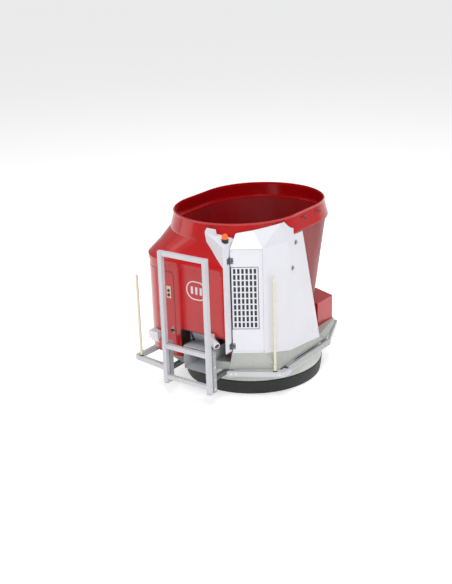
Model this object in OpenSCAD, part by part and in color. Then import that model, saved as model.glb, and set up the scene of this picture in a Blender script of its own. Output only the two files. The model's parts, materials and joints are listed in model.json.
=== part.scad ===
// Self-propelled feed mixing and dispensing cart: an oval mixing tub on a round three-wheeled base.
// Millimetres, +Z up, front (nose and discharge chute) towards -Y.
// The origin is on the floor, under the middle of the overall length and width.

/* [Base and skirt] */
// Distance from the origin back to the centre line of the tub and skirt
drum_y = 176; // [166:2:186]
// Outer radius of the rubber skirt
skirt_r = 950; // [910:10:960]
// Height of the rubber skirt
rubber_h = 195; // [180:5:205]
// Thickness of the rubber skirt
rubber_t = 58; // [45:1:62]
// Height of the top edge of the turning steel skirt
skirt_top = 388; // [380:1:392]
// Sheet thickness of the turning steel skirt
skirt_t = 6; // [4:0.5:8]
// Number of bolts round the steel skirt
skirt_bolts_n = 24; // [12:2:36]
// Radius of the three rollers that guide the skirt
roller_r = 50; // [40:1:60]

/* [Wheels] */
// Radius of the two drive tyres
wheel_r = 155; // [140:1:160]
// Width of the drive tyres
wheel_w = 110; // [80:2:130]
// Distance of each drive wheel from the middle
wheel_x = 520; // [480:5:560]
// Radius of the caster wheel
caster_r = 100; // [80:2:115]
// Radius of the drive axle
axle_r = 25; // [20:1:30]

/* [Chassis] */
// Underside of the round chassis plate
plate_z = 330; // [325:1:334]
// Thickness of the chassis plate
plate_t = 15; // [10:1:16]
// Radius of the chassis plate
plate_r = 866; // [860:1:870]
// Height of the chassis beams
beam_h = 50; // [40:2:52]
// Distance of each lengthwise beam from the middle
beam_x = 340; // [320:5:360]

/* [Tub] */
// Half of the straight stretch between the tub's round ends
tub_straight = 255; // [200:5:270]
// Height of the tub floor
tub_z = 500; // [496:1:520]
// Outer radius of the tub's round ends at the floor
tub_base_r = 650; // [600:5:660]
// Outer radius of the tub's round ends under the collar
tub_top_r = 872; // [850:2:880]
// Height of the collar's lower edge
collar_z = 2140; // [2050:10:2200]
// Outer radius of the collar's lower edge
collar_r = 900; // [890:2:910]
// Outer radius of the rim
rim_r = 845; // [830:5:855]
// Height of the rim
rim_z = 2365; // [2320:5:2450]
// Sheet thickness of the tub
tub_t = 8; // [5:1:10]

/* [Auger] */
// Radius of the flight at the tub floor
flight_r = 560; // [480:10:580]
// Radius of the flight at its top
flight_top_r = 240; // [200:10:300]
// Height of the auger above the tub floor
auger_h = 1000; // [800:20:1200]
// Turns of the flight
flight_turns = 2.25; // [1.5:0.25:3]
// Radius of the auger shaft
shaft_r = 45; // [35:1:50]

/* [Nose] */
// Distance from the tub centre forward to the flat front of the nose
nose_front = 1292; // [1270:2:1300]
// Height of the bottom of the nose
nose_z = 572; // [570:1:600]
// Height of the crease under the shoulder
crease_z = 1797; // [1760:5:1840]
// Radius of the nose's rounded front corner
nose_corner_r = 523; // [480:5:540]
// Distance of the nose's side from the middle
nose_side = 973; // [960:1:980]
// Sheet thickness of the covers
skin_t = 6; // [4:1:8]
// Distance of the nose's square edge from the middle
nose_edge = 466; // [450:2:480]
// Edge of the service hatch, measured from the middle
hatch_edge = 314; // [300:2:330]

/* [Chute and gate] */
// Half width of the chute
chute_half = 205; // [180:5:215]
// Height of the chute floor at its mouth
chute_z = 408; // [404:1:415]
// Height of the chute roof
chute_top = 725; // [700:5:740]
// Lean of the gate from upright, in degrees
gate_lean = 25; // [15:1:28]
// Travel of the gate along its lean
gate_travel = 180; // [100:5:185]

/* [Bumper] */
// Distance from the tub centre forward to the face of the front frame
frame_front = 1520; // [1500:5:1540]
// Half width of the front frame
frame_half = 372; // [365:1:380]
// Height of the front frame's feet
frame_z = 257; // [240:2:300]
// Height of the top of the front frame
frame_top = 2043; // [2000:5:2150]
// Side of the frame's square tube
frame_tube = 58; // [50:1:64]
// Travel of the sprung front frame
frame_travel = 20; // [10:1:22]
// Distance of the outer face of each side rail from the middle
rail_x = 980; // [976:1:1000]
// Height of the side rails
rail_h = 80; // [60:2:84]
// Length of the left whisker rod
rod_left_h = 1150; // [900:10:1250]
// Length of the right whisker rod
rod_right_h = 1270; // [900:10:1300]
// Radius of the whisker rods
rod_r = 17; // [12:1:20]

/* [Hidden] */
$fn = 96;
run_gap = 0.05;
face_gap = 0.3;
beam_z = skirt_top + 12;
beam_top = beam_z + beam_h;
beam_w = 60;
rail_t = 45;
rail_top = beam_top;
bar_top = rail_top - 13;
bar_h = 70;
wheel_y = drum_y + 150;
caster_y = drum_y - 520;
collar_front = drum_y - tub_straight - collar_r;
hinge_x = 478;
hinge_y = drum_y - 1165;
pin_x = hinge_x + 1;
pin_y = hinge_y - 7;
door_x2 = 817;
door_y2 = drum_y - 950;
door_len = norm([door_x2 - hinge_x, door_y2 - hinge_y]);
door_turn = atan2(door_y2 - hinge_y, door_x2 - hinge_x);
door_z = 752;
door_top = 2092;
grille_x = 14.5;
grille_w = 329;
grille_z = 1055;
grille_h = 810;
deck_top = 561;
leg_depth = 66;
leg_y = drum_y - frame_front + frame_tube + frame_travel + 6;
gate_y = drum_y - 958;
gate_w = 2 * chute_half - 14;

// ---------- shared shapes ----------
module at_drum() {
    translate([0, drum_y, 0]) children();
}

// Solid swept from a half profile: two round ends joined by straight sides.
module oval(straight) {
    translate([0, straight, 0]) rotate_extrude(angle = 180) children();
    translate([0, -straight, 0]) rotate(180) rotate_extrude(angle = 180) children();
    for (side = [0, 180])
        rotate(side) translate([0, straight, 0]) rotate([90, 0, 0]) linear_extrude(2 * straight) children();
}

module oval_plan(r) {
    for (y = [-tub_straight, tub_straight]) translate([0, y]) circle(r);
    square([2 * r, 2 * tub_straight], center = true);
}

function tub_radius(z) = tub_base_r + (tub_top_r - tub_base_r) * (z - tub_z) / (collar_z - tub_z);

// Space kept free for the tub and collar by everything that hugs them.
module tub_space(gap) {
    at_drum() oval(tub_straight)
        polygon([
            [0, tub_z - gap],
            [tub_base_r + gap, tub_z - gap],
            [tub_top_r + gap, collar_z - gap],
            [collar_r + gap, collar_z - gap],
            [collar_r + gap, collar_z + 14 + gap],
            [rim_r + gap + 14, rim_z + 40],
            [0, rim_z + 40]
        ]);
}

module box_at(low, high) {
    translate(low) cube(high - low);
}

// Convex body through a list of corner points.
module through(points) {
    hull() for (p = points) translate(p) cube(1, center = true);
}

function inward(p, t) = [p.x - t * sign(p.x), p.y + t, p.z];

// ---------- turning skirt ----------
module skirt_rubber() {
    color([0.05, 0.05, 0.05])
        at_drum() rotate_extrude()
            polygon([
                [skirt_r - rubber_t, 0],
                [skirt_r - 34, 0],
                [skirt_r - 20, 14],
                [skirt_r - 6, rubber_h * 0.5],
                [skirt_r, rubber_h - 16],
                [skirt_r - 8, rubber_h],
                [skirt_r - rubber_t, rubber_h]
            ]);
}

hoop_r = skirt_r - rubber_t;
cone_top_r = hoop_r + 14;

module skirt_steel() {
    color([0.78, 0.8, 0.77])
        at_drum() {
            rotate_extrude()
                polygon([
                    [hoop_r - skirt_t, 40],
                    [hoop_r, 40],
                    [hoop_r, rubber_h],
                    [skirt_r - 8, rubber_h],
                    [skirt_r - 8, rubber_h + skirt_t],
                    [cone_top_r, skirt_top],
                    [hoop_r - skirt_t, skirt_top],
                    [hoop_r - skirt_t, skirt_top - skirt_t],
                    [cone_top_r - skirt_t, skirt_top - skirt_t],
                    [skirt_r - 8 - skirt_t - 4, rubber_h + skirt_t],
                    [hoop_r, rubber_h + skirt_t],
                    [hoop_r, rubber_h + 60],
                    [hoop_r - skirt_t, rubber_h + 60]
                ]);
        }
}

module skirt_bolts() {
    bolt_z = rubber_h + 32;
    cone_lean = atan2(skirt_r - 8 - cone_top_r, skirt_top - rubber_h - skirt_t);
    bolt_r = skirt_r - 8 - (bolt_z - rubber_h - skirt_t) * tan(cone_lean);
    color([0.9, 0.9, 0.9])
        at_drum()
            for (i = [0 : skirt_bolts_n - 1])
                rotate(i * 360 / skirt_bolts_n)
                    translate([bolt_r, 0, bolt_z]) rotate([0, 90 - cone_lean, 0]) cylinder(r = 11, h = 7, $fn = 6);
}

module skirt_roller(angle) {
    reach = hoop_r - skirt_t - face_gap - roller_r;
    color([0.25, 0.25, 0.26])
        at_drum() rotate(angle) translate([reach, 0, 0]) {
            translate([0, 0, 90]) cylinder(r = roller_r, h = rubber_h + 30 - 90);
            cylinder_from(12, rubber_h + 30, plate_z + plate_t + 10);
        }
}

module cylinder_from(r, low, high) {
    translate([0, 0, low]) cylinder(r = r, h = high - low);
}

module skirt_roller_rear() skirt_roller(90);
module skirt_roller_left() skirt_roller(210);
module skirt_roller_right() skirt_roller(330);

// ---------- chassis ----------
module chassis_plate() {
    reach = hoop_r - skirt_t - face_gap - roller_r;
    difference() {
        at_drum() cylinder_from(plate_r, plate_z, plate_z + plate_t);
        at_drum() for (angle = [90, 210, 330])
            rotate(angle) translate([reach, 0, 0]) cylinder_from(12 + run_gap, plate_z - 1, plate_z + plate_t + 1);
        translate([0, caster_y, 0]) cylinder_from(15 + run_gap, plate_z - 1, plate_z + plate_t + 1);
    }
}

module chassis_frame() {
    plate_top = plate_z + plate_t;
    front = leg_y + leg_depth;
    color([0.4, 0.41, 0.42]) {
        chassis_plate();
        for (x = [-beam_x, beam_x])
            box_at([x - beam_w / 2, front, beam_z], [x + beam_w / 2, drum_y + 1000, beam_top]);
        for (y = [drum_y - 640, drum_y + 395])
            box_at([-rail_x + rail_t, y - beam_w / 2, beam_z], [rail_x - rail_t, y + beam_w / 2, beam_top]);
        for (x = [-beam_x, beam_x], y = [drum_y - 640, drum_y + 395, drum_y + 620])
            box_at([x - beam_w / 2, y - beam_w / 2, plate_top], [x + beam_w / 2, y + beam_w / 2, beam_z]);
        for (y = [drum_y - 420, drum_y + 420])
            box_at([-beam_x, y - 40, beam_top], [beam_x, y + 40, tub_z]);
    }
}

module wheel_motor(side) {
    color([0.3, 0.31, 0.33])
        translate([0, wheel_y, wheel_r]) {
            rotate([0, side * 90, 0]) {
                translate([0, 0, 170]) cylinder(r = 88, h = 250);
                translate([0, 0, 420]) cylinder(r = axle_r, h = wheel_x - 420 + wheel_w / 2 - 15);
            }
            box_at([side * 295 - 60, -70, 60], [side * 295 + 60, 70, plate_z - wheel_r]);
        }
}

module wheel_motor_left() wheel_motor(-1);
module wheel_motor_right() wheel_motor(1);

rim_radius = wheel_r - 55;

module wheel_rim(side) {
    color([0.75, 0.76, 0.77])
        translate([side * wheel_x, wheel_y, wheel_r]) rotate([0, 90, 0])
            difference() {
                cylinder(r = rim_radius, h = wheel_w - 20, center = true);
                cylinder(r = axle_r + run_gap, h = wheel_w, center = true);
                for (i = [0 : 4]) rotate(i * 72) translate([rim_radius * 0.62, 0, 0])
                    cylinder(r = 16, h = wheel_w, center = true);
            }
}

module wheel_rim_left() wheel_rim(-1);
module wheel_rim_right() wheel_rim(1);

module wheel_tyre(side) {
    color([0.08, 0.08, 0.08])
        translate([side * wheel_x, wheel_y, wheel_r]) rotate([0, 90, 0]) rotate_extrude()
            polygon([
                [rim_radius, -wheel_w / 2 + 6],
                [wheel_r - 14, -wheel_w / 2],
                [wheel_r, -wheel_w / 2 + 16],
                [wheel_r, wheel_w / 2 - 16],
                [wheel_r - 14, wheel_w / 2],
                [rim_radius, wheel_w / 2 - 6]
            ]);
}

module wheel_tyre_left() wheel_tyre(-1);
module wheel_tyre_right() wheel_tyre(1);

caster_trail = 50;
caster_pin_r = 12;

module caster_fork() {
    crown_top = plate_z - face_gap;
    color([0.6, 0.61, 0.62])
        translate([0, caster_y, 0]) {
            cylinder_from(15, crown_top, plate_z + plate_t + 12);
            cylinder_from(62, crown_top - 20, crown_top);
            for (x = [-42, 34])
                box_at([x, -40, caster_r - 30], [x + 8, caster_trail + 40, crown_top - 20]);
            box_at([-42, -40, crown_top - 36], [42, caster_trail + 40, crown_top - 20]);
            translate([-42, caster_trail, caster_r]) rotate([0, 90, 0]) cylinder(r = caster_pin_r, h = 84);
        }
}

module caster_wheel() {
    color([0.15, 0.15, 0.16])
        translate([0, caster_y + caster_trail, caster_r]) rotate([0, 90, 0])
            difference() {
                cylinder(r = caster_r, h = 60, center = true);
                cylinder(r = caster_pin_r + run_gap, h = 62, center = true);
            }
}

// ---------- tub and auger ----------
module tub() {
    color([0.62, 0.04, 0.05])
        difference() {
            at_drum() {
                oval(tub_straight)
                    polygon([
                        [tub_base_r - tub_t, tub_z],
                        [tub_base_r, tub_z],
                        [tub_top_r, collar_z],
                        [tub_top_r - tub_t, collar_z]
                    ]);
                translate([0, 0, tub_z]) linear_extrude(tub_t) oval_plan(tub_base_r - tub_t / 2);
            }
            at_drum() cylinder_from(shaft_r + 15, tub_z - 1, tub_z + tub_t + 1);
            box_at([-chute_half + 5, drum_y - 1000, tub_z + tub_t], [chute_half - 5, drum_y - 780, chute_top - 5]);
        }
}

module collar() {
    color([0.75, 0.05, 0.05])
        at_drum() oval(tub_straight)
            polygon([
                [tub_top_r - tub_t - 4, collar_z],
                [collar_r, collar_z],
                [collar_r, collar_z + 14],
                [rim_r + 4, rim_z - 30],
                [rim_r + 12, rim_z - 24],
                [rim_r + 12, rim_z - 6],
                [rim_r + 4, rim_z],
                [rim_r - 8, rim_z],
                [rim_r - 8, rim_z - 30],
                [collar_r - tub_t, collar_z + 14],
                [collar_r - tub_t, collar_z + tub_t],
                [tub_top_r - tub_t - 4, collar_z + tub_t]
            ]);
}

gearbox_top = tub_z - face_gap;

module auger_gearbox() {
    color([0.3, 0.32, 0.35])
        at_drum() difference() {
            union() {
                cylinder_from(190, plate_z + plate_t, plate_z + plate_t + 18);
                cylinder_from(140, plate_z + plate_t + 18, gearbox_top);
            }
            cylinder_from(shaft_r + run_gap, plate_z + plate_t + 40, gearbox_top + 1);
        }
}

module auger_motor() {
    color([0.2, 0.3, 0.45])
        difference() {
            translate([0, drum_y + 100, plate_z + plate_t + 80]) {
                rotate([-90, 0, 0]) cylinder(r = 68, h = 255);
                box_at([-60, 98, -80], [60, 240, -30]);
            }
            at_drum() cylinder_from(140, plate_z, gearbox_top);
            at_drum() cylinder_from(190, plate_z, plate_z + plate_t + 18);
        }
}

core_r = 95;
core_z = tub_z + tub_t + 4;

module auger_core() {
    color([0.5, 0.5, 0.5])
        at_drum() {
            cylinder_from(shaft_r, plate_z + plate_t + 42, core_z + 20);
            cylinder_from(core_r + 40, core_z, core_z + 12);
            cylinder_from(core_r, core_z + 12, core_z + auger_h);
            translate([0, 0, core_z + auger_h]) cylinder(r1 = core_r, r2 = core_r * 0.4, h = 60);
        }
}

flight_steps = 54;
flight_t = 10;
function flight_radius(k) = flight_r + (flight_top_r - flight_r) * k;
function flight_z(k) = core_z + 16 + (auger_h - 60) * k;
function flight_slope(k) = atan2((auger_h - 60) / flight_turns, 2 * PI * flight_radius(k));
function flight_ring(k) = let (a = 360 * flight_turns * k, r = flight_radius(k), z = flight_z(k)) [
    [core_r * 0.5 * cos(a), core_r * 0.5 * sin(a), z],
    [r * cos(a), r * sin(a), z],
    [r * cos(a), r * sin(a), z + flight_t],
    [core_r * 0.5 * cos(a), core_r * 0.5 * sin(a), z + flight_t]
];

module flight_blade() {
    rings = [for (i = [0 : flight_steps]) each flight_ring(i / flight_steps)];
    lower = [
        for (i = [0 : flight_steps - 1], j = [0 : 3]) [i * 4 + j, i * 4 + 4 + (j + 1) % 4, i * 4 + (j + 1) % 4]
    ];
    upper = [
        for (i = [0 : flight_steps - 1], j = [0 : 3]) [i * 4 + j, i * 4 + 4 + j, i * 4 + 4 + (j + 1) % 4]
    ];
    last = flight_steps * 4;
    ends = [[0, 1, 2], [0, 2, 3], [last, last + 2, last + 1], [last, last + 3, last + 2]];
    polyhedron(rings, concat(lower, upper, ends), convexity = 10);
}

module auger_flight() {
    color([0.55, 0.55, 0.54])
        at_drum() difference() {
            flight_blade();
            cylinder_from(core_r, core_z - 10, core_z + auger_h + 10);
        }
}

module auger_knives() {
    color([0.75, 0.76, 0.78])
        at_drum()
            for (step = [4, 16, 28, 39]) {
                k = (step + 0.5) / flight_steps;
                rotate(360 * flight_turns * k)
                    translate([flight_radius(k) - 70, 0, flight_z(k) + flight_t + 1.9])
                        rotate([flight_slope(k), 0, 0]) box_at([0, -14, 0], [62, 14, 8]);
            }
}

// ---------- chute and gate ----------
chute_wall = 5;
chute_back = drum_y - 880;
chute_front = drum_y - nose_front + 2;

function chute_floor(extra) = [
    [chute_front, chute_z + extra],
    [drum_y - 985, chute_z + 14 + extra],
    [chute_back, tub_z + extra]
];

module chute_side(low, high, inset) {
    translate([low, 0, 0]) rotate([90, 0, 90]) linear_extrude(high - low)
        polygon(concat(
            chute_floor(inset),
            [[chute_back, chute_top - inset], [chute_front - (inset > 0 ? 10 : 0), chute_top - inset],
             [chute_front - (inset > 0 ? 10 : 0), chute_z + inset]]
        ));
}

module chute() {
    slot_y = gate_y - (chute_top - tub_z) * tan(gate_lean);
    color([0.6, 0.61, 0.62])
        difference() {
            chute_side(-chute_half, chute_half, 0);
            chute_side(-chute_half + chute_wall, chute_half - chute_wall, chute_wall);
            tub_space(face_gap);
            box_at([-gate_w / 2 - 1, slot_y - 4, chute_top - 10], [gate_w / 2 + 1, slot_y + 12, chute_top + 1]);
        }
}

module gate_frame() {
    translate([0, gate_y, tub_z]) rotate([gate_lean, 0, 0]) children();
}

gate_len = 540;

module gate_plate() {
    color([0.93, 0.93, 0.95])
        gate_frame() {
            box_at([-gate_w / 2, 0, -34], [gate_w / 2, 6, gate_len]);
            box_at([-gate_w / 2, -14, gate_len - 20], [gate_w / 2, 0, gate_len]);
        }
}

module gate_guides() {
    start = (chute_top - tub_z) / cos(gate_lean) - 20;
    color([0.2, 0.2, 0.21])
        difference() {
            gate_frame()
                for (side = [-1, 1])
                    difference() {
                        translate([side * (gate_w / 2 - 2), 0, 0]) box_at([-14, -12, start], [14, 18, gate_len - 24]);
                        box_at([-gate_w / 2 - 0.4, -0.4, start - 1], [gate_w / 2 + 0.4, 6.4, gate_len]);
                        box_at([-gate_w / 2 + 8, -20, start - 1], [gate_w / 2 - 8, 30, gate_len]);
                    }
            box_at([-500, drum_y - 1300, 0], [500, drum_y, chute_top]);
        }
}

// ---------- covers ----------
hood_low = [
    [hinge_x, hinge_y, 745],
    [door_x2, door_y2, 722],
    [912, drum_y - 500, 615],
    [960, drum_y + 180, 575]
];
hood_high = [
    [hinge_x, hinge_y, 2100],
    [door_x2, door_y2, 2100],
    [912, drum_y - 530, 2095],
    [890, drum_y - 140, 2150]
];
hood_collar = [
    [hinge_x, drum_y - 1030, 2262],
    [650, drum_y - 900, 2290],
    [838, drum_y - 560, 2325],
    [868, drum_y - 190, 2325]
];
hood_back = [
    [hinge_x, drum_y - 640, 660],
    [560, drum_y + 180, 600],
    [hinge_x, drum_y - 880, 2200],
    [780, drum_y - 140, 2250]
];

module hood_body(t) {
    through([
        for (p = hood_low) inward(p, t) - [0, 0, t > 0 ? 30 : 0],
        for (p = hood_high) inward(p, t) - [0, 0, t],
        for (p = hood_collar) inward(p, t) - [0, 0, t],
        for (p = hood_back) p - [0, t > 0 && p.y > drum_y - 200 ? t : 0, t > 0 && p.z < 1000 ? 30 : t]
    ]);
}

module hood_shell() {
    difference() {
        hood_body(0);
        hood_body(skin_t);
        tub_space(4);
    }
}

sill_low = [[380, drum_y - 1105], [905, drum_y - 740], [925, drum_y + 430]];

module hood_sill() {
    top = [for (p = hood_low) [p.x - (p.x > 900 ? 8 : 2), p.y + 4, p.z - face_gap - 0.5]];
    bottom = [for (p = sill_low) [p.x, p.y, beam_top + face_gap + 0.5]];
    color([0.56, 0.58, 0.54])
        difference() {
            through(concat(bottom, top));
            through([
                for (p = bottom) inward(p, 4) - [0, 0, 1],
                for (p = top) inward(p, 4) + [0, 0, 1]
            ]);
            deck_body(0);
            translate([0, 0, -face_gap]) hood_body(0);
            tub_space(4);
        }
}

module door_frame() {
    translate([hinge_x, hinge_y, 0]) rotate(door_turn) children();
}

module right_hood() {
    color([0.93, 0.93, 0.96])
        difference() {
            union() {
                hood_shell();
                for (place = latch_places)
                    translate([place.x - 8, place.y, place.z]) rotate([0, 90, 0]) cylinder(r = 26, h = 28);
            }
            box_at([0, drum_y - 1400, 0], [hinge_x + 5, drum_y + 400, 3000]);
            door_frame() box_at([-60, -40, 0], [door_len + 1, 36, door_top + 3]);
            for (place = latch_places)
                translate([place.x, place.y, place.z]) rotate([0, 90, 0]) cylinder(r = 8 + run_gap, h = 60);
        }
}

module side_door() {
    color([0.93, 0.93, 0.96])
        door_frame() difference() {
            box_at([9, -1, door_z], [door_len - 1, 25, door_top]);
            box_at([13, 3, door_z + 4], [door_len - 6, 26, door_top - 4]);
            box_at([grille_x, -2, grille_z], [grille_x + grille_w, 4, grille_z + grille_h]);
        }
}

grille_columns = 6;
grille_rows = 10;

module door_grille() {
    pitch_x = (grille_w - 24) / grille_columns;
    pitch_z = (grille_h - 24) / grille_rows;
    color([0.85, 0.85, 0.88])
        door_frame() difference() {
            box_at([grille_x, -1, grille_z], [grille_x + grille_w, 2.5, grille_z + grille_h]);
            for (i = [0 : grille_columns - 1], j = [0 : grille_rows - 1])
                translate([grille_x + 12 + pitch_x * (i + 0.2), -2, grille_z + 12 + pitch_z * (j + 0.1)])
                    cube([pitch_x * 0.6, 6, pitch_z * 0.8]);
        }
}

hinge_heights = [820, 1950];

module door_hinges() {
    color([0.35, 0.36, 0.38])
        translate([pin_x, pin_y, 0])
            for (z = hinge_heights) {
                cylinder_from(7, z - 45, z + 45);
                box_at([-7, 0, z - 45], [-4, 24, z + 45]);
            }
}

latch_places = [[893, drum_y - 330, 2030], [905, drum_y - 430, 1720]];

module hood_latch(place) {
    color([0.4, 0.41, 0.43])
        translate([hood_face_x(place), place.y, place.z]) rotate([0, 90, 0]) {
            translate([0, 0, face_gap - 16]) cylinder(r = 8, h = 18);
            translate([0, 0, face_gap]) cylinder(r = 20, h = 9);
            translate([-5, -17, 9]) cube([10, 34, 10]);
        }
}

function hood_face_x(place) = place.x + 20;

module hood_latch_upper() hood_latch(latch_places[0]);
module hood_latch_lower() hood_latch(latch_places[1]);

left_front = drum_y - 424;
left_back = drum_y + 180;
left_points = [
    [-900, left_front, deck_top + 0.5],
    [-895, left_back, deck_top + 0.5],
    [-600, left_front, deck_top + 0.5],
    [-600, left_back, deck_top + 0.5],
    [-930, left_front, 900],
    [-920, left_back, 900],
    [-906, left_front, 2098],
    [-888, drum_y - 140, 2140],
    [-862, left_front, 2300],
    [-860, drum_y - 190, 2290],
    [-700, left_front, 2260],
    [-700, drum_y - 140, 2240]
];

module left_cover() {
    color([0.93, 0.93, 0.96])
        difference() {
            through(left_points);
            through([
                for (p = left_points)
                    [p.x + (p.x < -750 ? skin_t : 0), p.y - (p.y > drum_y - 200 ? skin_t : 4), p.z - (p.z < 1000 ? 30 : skin_t)]
            ]);
            tub_space(4);
            box_at([-1000, left_front - 50, collar_z - 4], [0, left_back + 50, rim_z]);
        }
}

// Plan of the nose's left half: flat front and side joined by a round corner of radius r.
module corner_plan(side, front, r) {
    intersection() {
        translate([r - side, r - front]) circle(r);
        translate([-1200, -1500]) square([1200 + r - side, 1500 + r - front]);
    }
    translate([r - side, -front]) square([nose_edge - r + side, front - 428]);
    translate([-side, r - front]) square([r, front - r - 428]);
}

module nose_plan(grow) {
    corner_plan(nose_side + grow, nose_front + grow, nose_corner_r + grow);
}

module nose_wall(low, high, grow, t) {
    at_drum() translate([0, 0, low]) linear_extrude(high - low)
        difference() {
            nose_plan(grow);
            translate([0, 1]) nose_plan(grow - t);
        }
}

module hatch_window(gap) {
    top = 1703 + gap;
    round_r = 60;
    edge = -hatch_edge + gap;
    translate([0, drum_y, 0]) rotate([90, 0, 0]) linear_extrude(2000)
        union() {
            translate([-1200, 0]) square([1200 + edge, top - round_r]);
            translate([-1200, 0]) square([1200 + edge - round_r, top]);
            translate([edge - round_r, top - round_r]) circle(round_r);
        }
}

hatch_back = drum_y - 500;

module nose_skin() {
    color([0.72, 0.05, 0.06])
        difference() {
            union() {
                nose_wall(deck_top, crease_z, 0, skin_t);
                nose_wall(deck_top, deck_top + 6, 0, 75);
            }
            difference() {
                hatch_window(0);
                box_at([-1300, hatch_back, 0], [0, drum_y, 3000]);
                box_at([-1300, -2000, 0], [0, drum_y, nose_z - 3]);
            }
            box_at([-chute_half - 30, drum_y - nose_front - 5, 0], [nose_edge + 1, drum_y - nose_front + 90, 950]);
            tub_space(6);
        }
}

module service_hatch() {
    color([0.68, 0.05, 0.06])
        difference() {
            intersection() {
                nose_wall(nose_z, crease_z, 0, skin_t);
                hatch_window(-3);
            }
            box_at([-1300, hatch_back - 3, 0], [0, drum_y, 3000]);
            translate([-hatch_edge - 52, drum_y - nose_front + 20, 905]) rotate([90, 0, 0]) cylinder(r = 8 + run_gap, h = 40);
            for (z = button_heights)
                translate([button_x, drum_y - nose_front + 20, z]) rotate([90, 0, 0]) cylinder(r = 9 + run_gap, h = 40);
        }
}

button_x = -hatch_edge - 88;
button_heights = [1385, 1445];

module hatch_latch() {
    color([0.1, 0.1, 0.1])
        translate([-hatch_edge - 52, drum_y - nose_front, 905]) rotate([90, 0, 0]) {
            translate([0, 0, -12]) cylinder(r = 8, h = 12 + face_gap);
            translate([0, 0, face_gap]) cylinder(r = 26, h = 8);
            translate([-34, -8, 8]) cube([68, 16, 10]);
        }
}

module control_plate() {
    color([0.9, 0.85, 0.7])
        difference() {
            box_at([button_x - 34, drum_y - nose_front - 4, 1345], [button_x + 34, drum_y - nose_front, 1505]);
            for (z = button_heights)
                translate([button_x, drum_y - nose_front + 20, z]) rotate([90, 0, 0]) cylinder(r = 9 + run_gap, h = 40);
        }
}

module push_button(z) {
    color([0.08, 0.08, 0.09])
        translate([button_x, drum_y - nose_front - 4, z]) rotate([90, 0, 0]) {
            translate([0, 0, -14]) cylinder(r = 9, h = 14 + 5);
            translate([0, 0, 5]) cylinder(r = 14, h = 7);
        }
}

module push_button_upper() push_button(button_heights[1]);
module push_button_lower() push_button(button_heights[0]);

module badge_plan(r) {
    for (x = [-34, 34]) translate([x, 0]) circle(r);
    square([68, 2 * r], center = true);
}

module badge() {
    color([0.95, 0.93, 0.92])
        translate([45, drum_y - nose_front, 1520]) rotate([90, 0, 0]) {
            linear_extrude(4) difference() {
                badge_plan(124);
                badge_plan(110);
            }
            for (x = [-84, -15, 54]) translate([x, -48, 0]) cube([30, 96, 4]);
        }
}

belt_h = 44;
belt_grow = 12;
waist_z = crease_z + belt_h + 0.43 * (collar_z - crease_z - belt_h);

module waist_ring(t) {
    at_drum() translate([0, 0, waist_z])
        linear_extrude(1) corner_plan(nose_side - 35 - 1.6 * t, nose_front - 60 - 1.6 * t, 700 - 1.6 * t, $fn = 48);
}

// Dished body of the shoulder: from the belt in to the waist, then up to the collar.
module shoulder_body(t) {
    hull() {
        at_drum() translate([0, 0, crease_z - (t > 0 ? 1 : 0)])
            linear_extrude(belt_h + (t > 0 ? 1 : 0)) nose_plan(belt_grow - 3 * t, $fn = 48);
        waist_ring(t);
    }
    hull() {
        waist_ring(t);
        at_drum() translate([0, 0, collar_z - face_gap - 12])
            intersection() {
                linear_extrude(12 + (t > 0 ? 1 : 0)) oval_plan(collar_r + 2 - t, $fn = 48);
                box_at([-1000, -1300, 0], [nose_edge, -428, 20]);
            }
    }
}

module nose_shoulder() {
    color([0.8, 0.07, 0.06])
        difference() {
            shoulder_body(0);
            shoulder_body(skin_t);
            tub_space(face_gap);
            box_at([-900, drum_y - 460, crease_z - 5], [nose_edge, drum_y - 400, collar_z + 20]);
        }
}

// Outline of the white strip's side wall, seen from the side: [y, z].
strip_side = [
    [drum_y - nose_front, door_z],
    [hinge_y + 22, door_z],
    [hinge_y + 22, 1950],
    [drum_y - 1034, 2090],
    [drum_y - 1034, 2192],
    [drum_y - 1283, 2152],
    [drum_y - nose_front, 2150]
];
ear_y = drum_y - 1140;
corner_points = [
    [98, ear_y, 2262],
    [98, ear_y, 2040],
    [nose_edge, drum_y - 1283, 2150],
    [nose_edge, drum_y - 1283, crease_z],
    [nose_edge, drum_y - 1190, 2140],
    [nose_edge, drum_y - 1040, 2190],
    [nose_edge, drum_y - 1040, 2040],
    [240, drum_y - 1050, 2262]
];

module corner_strip() {
    color([0.93, 0.93, 0.96]) {
        difference() {
            through(corner_points);
            translate([-5, 6, -6]) through(corner_points);
            shoulder_body(0);
            tub_space(2);
        }
        translate([nose_edge, 0, 0]) rotate([90, 0, 90]) linear_extrude(pin_x - 7 - nose_edge) polygon(strip_side);
        translate([0, ear_y + 6, 0]) rotate([90, 0, 0]) linear_extrude(6)
            polygon([[98, 2225], [98, 2262], [126, 2312], [258, 2312], [272, 2262], [272, 2225]]);
    }
}

rear_low = [[744, 498], [744, 898], [401, 1038], [-401, 1038], [-744, 898], [-744, 498]];

module rear_housing() {
    color([0.66, 0.05, 0.06])
        difference() {
            at_drum() translate([0, 0, deck_top]) linear_extrude(902 - deck_top) polygon(rear_low);
            at_drum() translate([0, 0, deck_top - 1]) linear_extrude(903 - deck_top - skin_t)
                offset(delta = -skin_t) polygon(rear_low);
            tub_space(6);
        }
}

deck_low = [
    [-922, -1000], [-300, -1230], [300, -1145], [918, -762], [922, 440], [760, 905], [430, 1040],
    [-430, 1040], [-760, 905], [-922, 440]
];
deck_high = [
    [-930, -1000], [-300, -1190], [300, -1150], [470, -1070], [790, -880], [895, -500], [900, 330],
    [770, 905], [420, 1052], [-420, 1052], [-770, 905], [-900, 330]
];

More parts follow.
